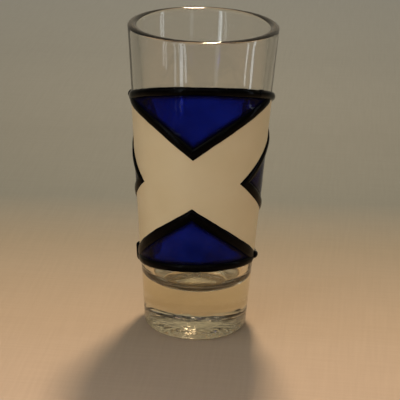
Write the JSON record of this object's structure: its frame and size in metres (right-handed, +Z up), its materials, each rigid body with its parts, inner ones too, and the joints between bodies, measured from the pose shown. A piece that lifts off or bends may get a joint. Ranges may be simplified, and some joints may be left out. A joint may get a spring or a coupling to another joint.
{
  "type": "shot glass",
  "caption": "Tall tapered clear shot glass with a thick foot, hand-painted with a blue and white diagonal-cross flag inside raised black lines.",
  "frame": {"origin": "on the glass's axis, in the plane that the foot stands on", "axes": "+Z up along the glass's axis, -Y out of the middle of the painted flag, +X to the flag's right as it is looked at"},
  "size_m": [0.0422, 0.0422, 0.09],
  "materials": {
    "clear_glass": "gloss",
    "black_relief": "gloss",
    "blue_glass_paint": "gloss",
    "white_glass_paint": "satin"
  },
  "bodies": {
    "root": {"tumbler": "clear_glass", "top_border_cord": "black_relief", "bottom_border_cord": "black_relief", "left_edge_cord": "black_relief", "right_edge_cord": "black_relief", "top_chevron_cord": "black_relief", "bottom_chevron_cord": "black_relief", "left_chevron_cord": "black_relief", "right_chevron_cord": "black_relief", "top_blue_film": "blue_glass_paint", "bottom_blue_film": "blue_glass_paint", "left_blue_film": "blue_glass_paint", "right_blue_film": "blue_glass_paint", "white_saltire_film": "white_glass_paint"}
  },
  "joints": []
}
